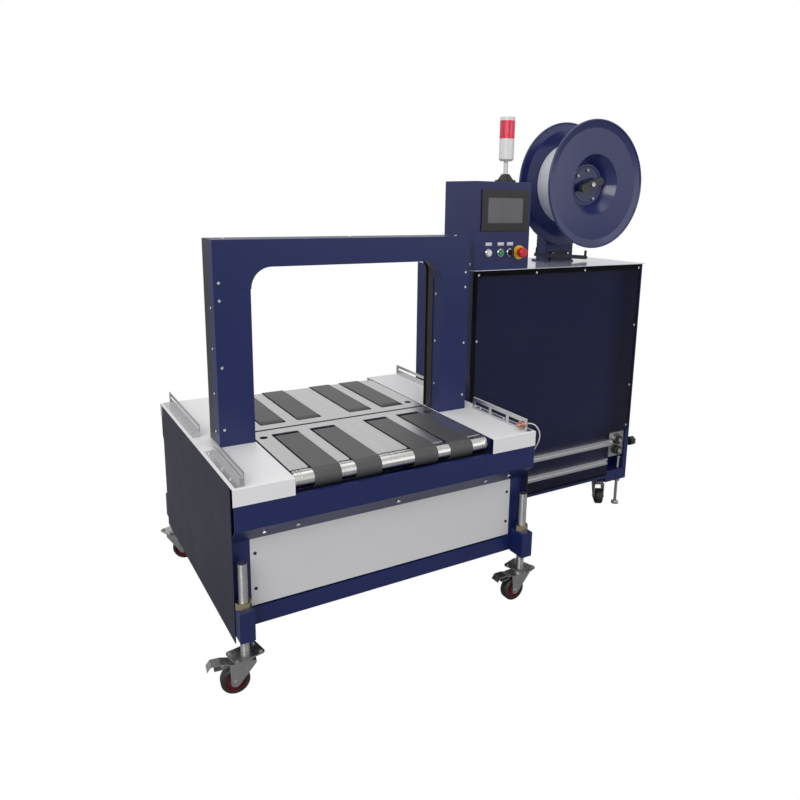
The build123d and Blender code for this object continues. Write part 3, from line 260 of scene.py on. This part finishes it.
# %% Special surfaces
def wheel_material(name, node, axle, turn):
    """Black tread round a maroon hub; turn is the axle's direction seen from above, in degrees."""
    made, shader, place = material(name, 0.42)
    low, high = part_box(node)
    middle = (low + high) / 2
    across = Vector((-math.sin(math.radians(turn)), math.cos(math.radians(turn)), 0))
    away = place.node("ShaderNodeVectorMath", {0: place, 1: middle}, operation="SUBTRACT")
    along = away.node("ShaderNodeVectorMath", {0: away, 1: across}, output=1, operation="DOT_PRODUCT")
    total = away.node("ShaderNodeVectorMath", {0: away}, output=1, operation="LENGTH")
    square = total * total - along * along
    radius = place.math("POWER", square, 0.5)
    tread = radius > axle
    worn = place.noise(90.0, 4.0)
    hub = worn.blend(rgb(0.10, 0.016, 0.022), rgb(0.16, 0.026, 0.034))
    rubber = worn.blend(rgb(0.012, 0.012, 0.012), rgb(0.030, 0.030, 0.030))
    feed(shader, Base_Color=tread.blend(hub, rubber))
    feed(shader, Roughness=worn * 0.2 + 0.32)
    return made


def coil_material():
    made, shader, place = material("strap_plastic", 0.34)
    turns = place.node("ShaderNodeTexWave", {"Vector": place, "Scale": 40.0, "Distortion": 1.5},
                       output=1, bands_direction="Y")
    feed(shader, Base_Color=turns.blend(rgb(0.60, 0.62, 0.68), rgb(0.80, 0.81, 0.84)))
    feed(shader, Normal=relief(turns, 0.5, 0.0008))
    return made


def thread_material():
    """Zinc all over; the thread's fine ridges show only on upright round stems."""
    made, shader, place = material("zinc_thread", 0.34, metallic=1.0)
    patches = place.noise(55.0, 5.0)
    ridges = place.node("ShaderNodeTexWave", {"Vector": place, "Scale": 110.0, "Distortion": 0.0},
                        output=1, bands_direction="Z")
    high = place.axis("Z") > 0.112
    feed(shader, Base_Color=patches.blend(rgb(0.36, 0.37, 0.37), rgb(0.56, 0.56, 0.54)))
    feed(shader, Roughness=patches * 0.2 + 0.26)
    feed(shader, Normal=relief(ridges * high, 0.7, 0.0012))
    return made


def window_material():
    made, shader, place = material("clear_sheet", 0.06, transmission=1.0, ior=1.3)
    tint = place.noise(2.5, 2.0)
    feed(shader, Base_Color=tint.blend(rgb(0.50, 0.52, 0.72), rgb(0.60, 0.62, 0.80)))
    feed(shader, Roughness=place.noise(6.0, 3.0) * 0.06 + 0.03)
    return made


def lamp_material():
    made, shader, place = material("red_lens", 0.2, coat=0.6)
    bars = place.node("ShaderNodeTexWave", {"Vector": place, "Scale": 22.0, "Distortion": 0.0},
                      output=1, bands_direction="X")
    feed(shader, Base_Color=bars.blend(rgb(0.50, 0.010, 0.040), rgb(0.75, 0.03, 0.09)))
    feed(shader, Emission_Color=bars.blend(rgb(0.30, 0.0, 0.02), rgb(0.55, 0.02, 0.06)))
    shader.inputs["Emission Strength"].default_value = 0.35
    return made


def screen_material():
    made, shader, place = material("screen_plastic", 0.3)
    low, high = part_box("touch_screen")
    x, z = place.axis("X"), place.axis("Z")
    inside = (x > low.x + 0.024) * (high.x - 0.024 - x > 0.0)
    inside = inside * (z > low.z + 0.027) * (high.z - 0.027 - z > 0.0)
    glass = place.noise(7.0, 1.0).blend(rgb(0.075, 0.072, 0.085), rgb(0.13, 0.125, 0.145))
    frame_colour = place.noise(40.0).blend(rgb(0.008, 0.008, 0.009), rgb(0.014, 0.014, 0.016))
    feed(shader, Base_Color=inside.blend(frame_colour, glass))
    feed(shader, Roughness=0.34 - inside * 0.2)
    return made


strap_plastic = coil_material()
zinc_thread = thread_material()
clear_sheet = window_material()
red_lens = lamp_material()
screen_plastic = screen_material()
print("special surfaces ready")

# %% [markdown]
# ## Dressing the CAD parts
# Each CAD node now gets its material. The list goes node by node so that nothing stays grey.

# %% Dressing the CAD parts
surfaces = {
    blue_paint: ["arch_housing", "arch_covers", "base_frame", "end_beams", "cabinet_body",
                 "reel_stand", "control_box"],
    navy_paint: ["side_panels", "guide_arm"],
    reel_paint: ["reel"],
    white_paint: ["table_wings"],
    panel_paint: ["end_panels"],
    stainless: ["slotted_plates", "side_guides", "sensor_guide"],
    turned_steel: ["front_roller", "rear_roller", "inner_rollers"],
    aluminium: ["strap_channels"],
    zinc: ["fork_front_left", "fork_front_right", "fork_rear_left", "fork_rear_right",
           "cabinet_fork_front_left", "cabinet_fork_front_right", "feed_bracket"],
    zinc_thread: ["castor_mounts", "levelling_feet"],
    yellow_zinc: ["stem_nuts"],
    belt_rubber: ["feed_belts"],
    black_plastic: ["strap_track", "cable_gland", "side_knob", "selector_switch", "tower_foot"],
    nut_plastic: ["reel_nut"],
    feed_rubber: ["lower_feed_wheel", "upper_feed_wheel"],
    white_plastic: ["tower_housing", "white_button", "light_bar"],
    red_plastic: ["stop_head"],
    yellow_plastic: ["stop_disc"],
    green_plastic: ["green_button"],
    silver_ring: ["switch_collars"],
    sensor_brass: ["photo_sensor"],
    cable_plastic: ["sensor_cable"],
    roof_sheet: ["cabinet_roof"],
    clear_sheet: ["cabinet_window"],
    strap_plastic: ["strap_coil"],
    red_lens: ["signal_lamp"],
    screen_plastic: ["touch_screen"],
}
wheel_turns = {"wheel_front_left": -8.0, "wheel_front_right": 0.0, "wheel_rear_left": 150.0,
               "wheel_rear_right": 35.0, "cabinet_wheel_front_left": 70.0,
               "cabinet_wheel_front_right": 59.0, "cabinet_wheel_rear_left": 90.0,
               "cabinet_wheel_rear_right": 90.0}
for name, turn in wheel_turns.items():
    reach = 0.021 if name.startswith("cabinet") else 0.027
    surfaces[wheel_material("rubber_" + name, name, reach, turn)] = [name]


def dress(obj, surface):
    obj.data.materials.clear()
    obj.data.materials.append(surface)


for surface, names in surfaces.items():
    for name in names:
        dress(nodes[name], surface)
dressed = sorted(name for names in surfaces.values() for name in names)
print("dressed", len(dressed), "of", len(nodes), "left:", sorted(set(nodes) - set(dressed)))

# %% [markdown]
# ## Screws, modelled once and copied
# A screw head starts as a short cylinder. Its top face is inset and pushed down to make the socket, and a
# narrow bevel rounds the rim. The head is then copied to every place that has one, and the copies of a
# group are joined so that they travel as one piece.


# %% Screw makers
def edit(obj, mode):
    """Starts editing obj with nothing selected, in vertex, edge or face mode."""
    bpy.ops.object.select_all(action="DESELECT")
    obj.select_set(True)
    bpy.context.view_layer.objects.active = obj
    bpy.ops.object.mode_set(mode="EDIT")
    bpy.ops.mesh.select_mode(type=mode)
    bpy.ops.mesh.select_all(action="DESELECT")


def choose_faces(obj, test):
    """Selects the faces whose centre and normal pass the test, while editing."""
    mesh = bmesh.from_edit_mesh(obj.data)
    for face in mesh.faces:
        face.select_set(test(face.calc_center_median(), face.normal))
    bmesh.update_edit_mesh(obj.data)


def done():
    bpy.ops.object.mode_set(mode="OBJECT")


def soften(obj, width, segments=2, angle=40.0):
    """Bevels the sharp edges and smooths the rest."""
    bevel = obj.modifiers.new("soft_edges", "BEVEL")
    bevel.width = width
    bevel.segments = segments
    bevel.limit_method = "ANGLE"
    bevel.angle_limit = math.radians(angle)
    bpy.context.view_layer.objects.active = obj
    bpy.ops.object.modifier_apply(modifier=bevel.name)
    bpy.ops.object.select_all(action="DESELECT")
    obj.select_set(True)
    bpy.ops.object.shade_smooth_by_angle(angle=math.radians(35.0))


def screw_head(radius, height, sides=24, socket_sides=True):
    """A screw or bolt head standing on the origin, facing +Z."""
    bpy.ops.mesh.primitive_cylinder_add(vertices=sides, radius=radius, depth=height,
                                        location=(0, 0, height / 2))
    head = bpy.context.active_object
    bpy.ops.object.transform_apply(location=True, rotation=True, scale=True)
    edit(head, "FACE")
    choose_faces(head, lambda centre, normal: normal.z > 0.9)
    bpy.ops.mesh.inset(thickness=radius * 0.45)
    if socket_sides:
        bpy.ops.mesh.extrude_region_move(TRANSFORM_OT_translate={"value": (0, 0, -height * 0.55)})
    done()
    soften(head, radius * 0.14)
    return head


def stand_on(spot, facing, turn=0.0):
    """The matrix that puts a head at a spot with its top facing a direction."""
    lean = facing.to_track_quat("Z", "Y").to_matrix().to_4x4()
    return Matrix.Translation(spot) @ lean @ Matrix.Rotation(math.radians(turn), 4, "Z")


def scatter(template, name, places, surface, body="machine"):
    """Copies a template to (spot, facing) places and joins the copies into one named piece."""
    copies = []
    for number, (spot, facing) in enumerate(places):
        copy = template.copy()
        copy.data = template.data.copy()
        bpy.context.collection.objects.link(copy)
        copy.matrix_world = stand_on(spot, facing, 37.0 * number)
        copies.append(copy)
    bpy.ops.object.select_all(action="DESELECT")
    for copy in copies:
        copy.select_set(True)
    joined = copies[0]
    bpy.context.view_layer.objects.active = joined
    if len(copies) > 1:
        bpy.ops.object.join()
    bpy.ops.object.transform_apply(location=True, rotation=True, scale=True)
    joined.name = name
    dress(joined, surface)
    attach(joined, body)
    print(name, len(places), "copies,", len(joined.data.polygons), "faces")
    return joined


def remove(obj):
    bpy.data.objects.remove(obj, do_unlink=True)


# %% [markdown]
# The arch has small screws on its front, its top, its outer sides and the inner side of each column.
# The two end beams hang from hexagon bolts on their bevels, and the pale end panels, the window and the
# guides have small screws of their own. The table is symmetric, so most of its lists are mirrored.

# %% Screw places
def both_sides(places):
    """The same places mirrored to the table's other side."""
    mirrored = []
    for (x, y, z), facing in places:
        mirrored.append(((940.0 - x, y, z), Vector((-facing.x, facing.y, facing.z))))
    return places + mirrored


def both_ends(places):
    """The same places mirrored to the table's other end."""
    mirrored = []
    for (x, y, z), facing in places:
        mirrored.append(((x, 830.0 - y, z), Vector((facing.x, -facing.y, facing.z))))
    return places + mirrored


def spots(places):
    return [(at(*place), facing) for place, facing in places]


front_of_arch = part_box("arch_covers")[0].y
arch_y = (front_of_arch - TABLE_FRONT) / MM
arch_screws = [((70.0, arch_y, z), FRONT) for z in (461.0, 413.0, 228.0, 50.0)]
arch_screws += [((56.0, arch_y + 30.0, z), LEFT) for z in (391.0, 277.0, 150.0, 40.0)]
arch_screws += [((158.0, arch_y + 34.0, z), RIGHT) for z in (391.0, 236.0, 92.0)]
arch_top = [((x, arch_y + 26.0, 576.0), UP) for x in (95.0, 470.0, 845.0)]

small = screw_head(4.2 * MM, 2.6 * MM)
scatter(small, "arch_screws", spots(both_sides(arch_screws)), screw_steel)
scatter(small, "arch_top_screws", spots(arch_top), screw_steel)

panel_screws = [((65.0, 48.0, z), FRONT) for z in (-203.0, -302.0)]
scatter(small, "panel_screws", spots(both_ends(both_sides(panel_screws))), black_plastic)

guide_screws = [((16.0, y, 2.0), UP) for y in (66.0, 141.0, 270.0, 467.0, 620.0, 780.0)]
scatter(small, "guide_screws", spots(both_sides(guide_screws)), screw_steel)

window_front = (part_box("cabinet_window")[0].y - TABLE_FRONT) / MM
window_screws = [((x, window_front, 441.0), FRONT) for x in (966.0, 1220.0, 1452.0, 1738.0)]
window_screws += [((1738.0, window_front, z), FRONT) for z in (212.0, -35.0, -206.0)]
window_screws += [((966.0, window_front, z), FRONT) for z in (212.0, -35.0, -206.0)]
scatter(small, "window_screws", spots(window_screws), screw_steel)

box_screws = [((946.0, window_front + 168.0, 477.0), LEFT), ((946.0, window_front + 20.0, 477.0), LEFT)]
scatter(small, "control_box_screws", spots(box_screws), screw_steel)
remove(small)

bevel_out = Vector((0, -1, -1)).normalized()
bevel_depth = 22.0
bolts = [((x, bevel_depth, -113.0 - bevel_depth), bevel_out) for x in (83.0, 173.0, 470.0, 770.0, 857.0)]
bolt = screw_head(6.5 * MM, 5.0 * MM, sides=6, socket_sides=False)
scatter(bolt, "beam_bolts", spots(both_ends(bolts)), screw_steel)
remove(bolt)

# %% [markdown]
# ## The strap path at the cabinet's corner
# Each feed wheel turns on a bolt, the upper channel ends in a lug with another, and two screws stand
# beside the lower channel. All five are copies of one head.

# %% Strap path
cap = screw_head(5.0 * MM, 4.0 * MM)
bracket_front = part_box("feed_bracket")[0].y
caps = []
for wheel in ("upper_feed_wheel", "lower_feed_wheel"):
    low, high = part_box(wheel)
    caps.append((Vector(((low.x + high.x) / 2, bracket_front, (low.z + high.z) / 2)), FRONT))
scatter(cap, "feed_wheel_bolts", caps, screw_steel)
channel_low, channel_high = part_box("strap_channels")
lug_bolt = [(Vector((channel_high.x - 9 * MM, channel_low.y, channel_high.z - 13 * MM)), FRONT)]
scatter(cap, "lug_bolt", lug_bolt, screw_steel)
window_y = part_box("cabinet_window")[0].y
tail_x, tail_z = channel_high.x - 30 * MM, channel_low.z + 13 * MM
tail_screws = [(Vector((tail_x + step * MM, window_y, tail_z)), FRONT) for step in (-14.0, 6.0)]
scatter(cap, "channel_end_screws", tail_screws, screw_steel)
remove(cap)

# %% [markdown]
# ## Switch panel
# The two buttons and the selector each have a small bare plate above them. The plates are cubes whose
# front face is inset and raised, with soft edges.


# %% Switch panel
def plate(name, low, high, surface, inset, rise, body="machine"):
    """A thin plate between two corners with a raised field on its front."""
    middle = (low + high) / 2
    bpy.ops.mesh.primitive_cube_add(size=1.0, location=middle)
    made = bpy.context.active_object
    made.scale = high - low
    bpy.ops.object.transform_apply(location=True, rotation=True, scale=True)
    edit(made, "FACE")
    choose_faces(made, lambda centre, normal: normal.y < -0.9)
    bpy.ops.mesh.inset(thickness=inset)
    bpy.ops.mesh.extrude_region_move(TRANSFORM_OT_translate={"value": (0, -rise, 0)})
    done()
    soften(made, rise * 0.4)
    made.name = name
    dress(made, surface)
    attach(made, body)
    return made


switch_z = (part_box("white_button")[0].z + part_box("white_button")[1].z) / 2
panel_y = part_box("control_box")[0].y
for number, name in enumerate(("white_button", "green_button", "selector_switch")):
    low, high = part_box(name)
    x = (low.x + high.x) / 2
    z = switch_z + 24 * MM
    plate("label_%d" % number, Vector((x - 0.013, panel_y - 0.0012, z)),
          Vector((x + 0.013, panel_y, z + 0.011)), label_plate, 0.0012, 0.0004)
print("labels made at height", round(switch_z, 3))

# %% [markdown]
# ## Reel hub
# A bright bolt holds the hand nut. Three stud heads stand in the recess round it, low enough for the nut to
# turn over them, and a bead runs round the recess floor. The bead is a small circle of edges spun once
# round the axle, which is how a ring of any section can be made.


# %% Reel hub
def spun_ring(name, centre, radius, bead, surface, body):
    """A ring of round section about the Y axis through a centre."""
    bpy.ops.mesh.primitive_circle_add(vertices=12, radius=bead, location=(radius, 0, 0))
    ring = bpy.context.active_object
    bpy.ops.object.transform_apply(location=True, rotation=True, scale=True)
    edit(ring, "VERT")
    bpy.ops.mesh.select_all(action="SELECT")
    bpy.ops.mesh.spin(steps=72, angle=math.tau, center=(0, 0, 0), axis=(0, 1, 0))
    bpy.ops.mesh.select_all(action="SELECT")
    bpy.ops.mesh.remove_doubles(threshold=0.00005)
    bpy.ops.mesh.normals_make_consistent(inside=False)
    done()
    bpy.ops.object.shade_smooth()
    ring.data.transform(Matrix.Translation(centre))
    ring.name = name
    dress(ring, surface)
    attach(ring, body)
    return ring


nut_low, nut_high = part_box("reel_nut")
reel_low, reel_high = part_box("reel")
reel_x, reel_z = (reel_low.x + reel_high.x) / 2, (reel_low.z + reel_high.z) / 2
RECESS_DEPTH = 52 * MM
recess_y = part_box("cabinet_window")[0].y + RECESS_DEPTH
hub_bolt = screw_head(9.0 * MM, 5.0 * MM)
scatter(hub_bolt, "hub_bolt", [(Vector((reel_x, nut_low.y, reel_z)), FRONT)], screw_steel,
        body="reel_nut_unit")
remove(hub_bolt)
stud = screw_head(5.0 * MM, 8.0 * MM)
studs = [(Vector((reel_x + dx * MM, recess_y, reel_z + dz * MM)), FRONT)
         for dx, dz in ((-50.0, 30.0), (-4.0, 52.0), (30.0, -50.0))]
scatter(stud, "hub_studs", studs, screw_steel, body="reel_unit")
remove(stud)
spun_ring("recess_bead", Vector((reel_x, recess_y, reel_z)), 66 * MM, 2 * MM, reel_paint, "reel_unit")

arm_low, arm_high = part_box("guide_arm")
stand_screws = [(Vector((reel_x + dx * MM, arm_high.y - 6 * MM, arm_low.z + 27 * MM)), FRONT)
                for dx in (-38.0, 38.0)]
plate_screw = screw_head(4.2 * MM, 2.6 * MM)
scatter(plate_screw, "guide_plate_screws", stand_screws, screw_steel)
remove(plate_screw)

# %% [markdown]
# ## Studio
# A pale floor, a white surround and three large soft lights give the even light of a catalogue picture.
# The floor and the lights belong to the stage, not to the machine.


# %% Studio
def pale_floor():
    bpy.ops.mesh.primitive_plane_add(size=60.0, location=(0, 0, 0))
    floor = bpy.context.active_object
    floor.name = "studio_floor"
    made, shader, place = material("floor_pale", 0.9)
    feed(shader, Base_Color=place.noise(0.7).blend(rgb(0.30, 0.30, 0.31), rgb(0.34, 0.34, 0.35)))
    tree = made.node_tree
    seen = place.node("ShaderNodeEmission", {"Color": rgb(1.0, 1.0, 1.0), "Strength": 1.0})
    camera_ray = place.node("ShaderNodeLightPath", {}, output="Is Camera Ray")
    lit = Wire(tree, shader.outputs[0])
    both = place.node("ShaderNodeMixShader", {0: camera_ray, 1: lit, 2: seen})
    tree.links.new(both.socket, tree.nodes["Material Output"].inputs["Surface"])
    dress(floor, made)


def soft_light(name, place, target, size, power):
    bpy.ops.object.light_add(type="AREA", location=place)
    lamp = bpy.context.active_object
    lamp.name = name
    lamp.data.shape = "SQUARE"
    lamp.data.size = size
    lamp.data.energy = power
    lamp.rotation_euler = (Vector(target) - Vector(place)).to_track_quat("-Z", "Y").to_euler()


def white_surround(lighting, seen):
    """A white world that lights at one level and looks another level of white to the camera."""
    world = bpy.data.worlds.new("studio_world")
    bpy.context.scene.world = world
    world.use_nodes = True
    tree = world.node_tree
    shader = tree.nodes["Background"]
    path = tree.nodes.new("ShaderNodeLightPath")
    camera_ray = Wire(tree, path.outputs["Is Camera Ray"])
    level = camera_ray * (seen - lighting) + lighting
    tree.links.new(level.socket, shader.inputs["Strength"])
    shader.inputs["Color"].default_value = rgb(1.0, 1.0, 1.0)


pale_floor()
white_surround(0.72, 1.0)
soft_light("key_light", (-3.4, -2.8, 3.0), (0.0, 0.0, 0.6), 2.6, 75.0)
soft_light("fill_light", (2.6, -4.2, 2.0), (0.3, 0.0, 0.7), 2.6, 14.0)
soft_light("top_light", (0.0, 0.4, 4.2), (0.0, 0.0, 0.6), 3.0, 20.0)
print("studio ready")

# %% [markdown]
# ## Camera
# The camera was found by fitting the table, the arch and the cabinet to the reference picture: where
# it stands, which way it looks and how long its lens is. A small shift keeps the framing.

# %% Camera
CAMERA_SPOT = (-444.1, -1592.7, 694.4)
LOOK_UP, ROLL, LOOK_ASIDE = -0.2105, -0.01882, -0.5458
FOCAL_PIXELS, CENTRE_X, CENTRE_Y, PICTURE = 709.9, 421.4, 349.4, 800.0

bpy.ops.object.camera_add(location=at(*CAMERA_SPOT))
camera = bpy.context.active_object
camera.name = "picture_camera"
turn = Matrix.Rotation(LOOK_ASIDE, 3, "Z") @ Matrix.Rotation(LOOK_UP, 3, "X") @ Matrix.Rotation(ROLL, 3, "Y")
axes = Matrix((turn.col[0], turn.col[2], -turn.col[1])).transposed()
camera.rotation_euler = axes.to_euler()
camera.data.sensor_width = 36.0
camera.data.lens = FOCAL_PIXELS / PICTURE * camera.data.sensor_width
camera.data.shift_x = (PICTURE / 2 - CENTRE_X) / PICTURE
camera.data.shift_y = (CENTRE_Y - PICTURE / 2) / PICTURE
bpy.context.scene.camera = camera
bpy.context.scene.view_settings.view_transform = "Standard"
print("lens", round(camera.data.lens, 2), "mm at", tuple(round(v, 3) for v in camera.location))
